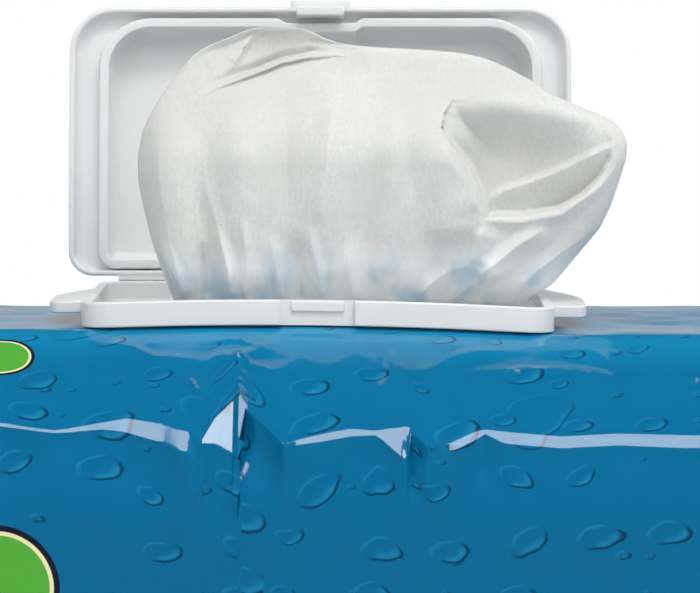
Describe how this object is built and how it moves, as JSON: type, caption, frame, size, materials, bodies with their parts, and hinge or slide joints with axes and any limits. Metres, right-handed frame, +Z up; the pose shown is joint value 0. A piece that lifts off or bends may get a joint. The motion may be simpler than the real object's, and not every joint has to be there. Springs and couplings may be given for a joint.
{
  "type": "wet wipes pack",
  "caption": "Soft film pack of wet wipes with a hinged white plastic closure, its lid open and a wipe pulled up through the opening.",
  "frame": {"origin": "on the table, under the middle of the pack's box", "axes": "+X along the pack, +Y to its back, +Z up through the closure"},
  "size_m": [0.24, 0.122, 0.1505],
  "materials": {
    "film": "printed blue film, glossy",
    "closure": "moulded white plastic, satin",
    "cloth": "damp white non-woven cloth",
    "stacked_cloth": "damp white non-woven cloth, folded"
  },
  "bodies": {
    "pack": {"film_pouch": "film", "wipes_stack": "stacked_cloth", "closure_base": "closure", "popped_wipe": "cloth"},
    "lid": {"closure_lid": "closure"}
  },
  "joints": [
    {"name": "lid_hinge", "type": "hinge", "parent": "pack", "child": "lid", "pos_m": [-0.0069, 0.0319, 0.0859], "axis": [1, 0, 0], "range_deg": [0, 98], "deforming": ["popped_wipe"]}
  ]
}
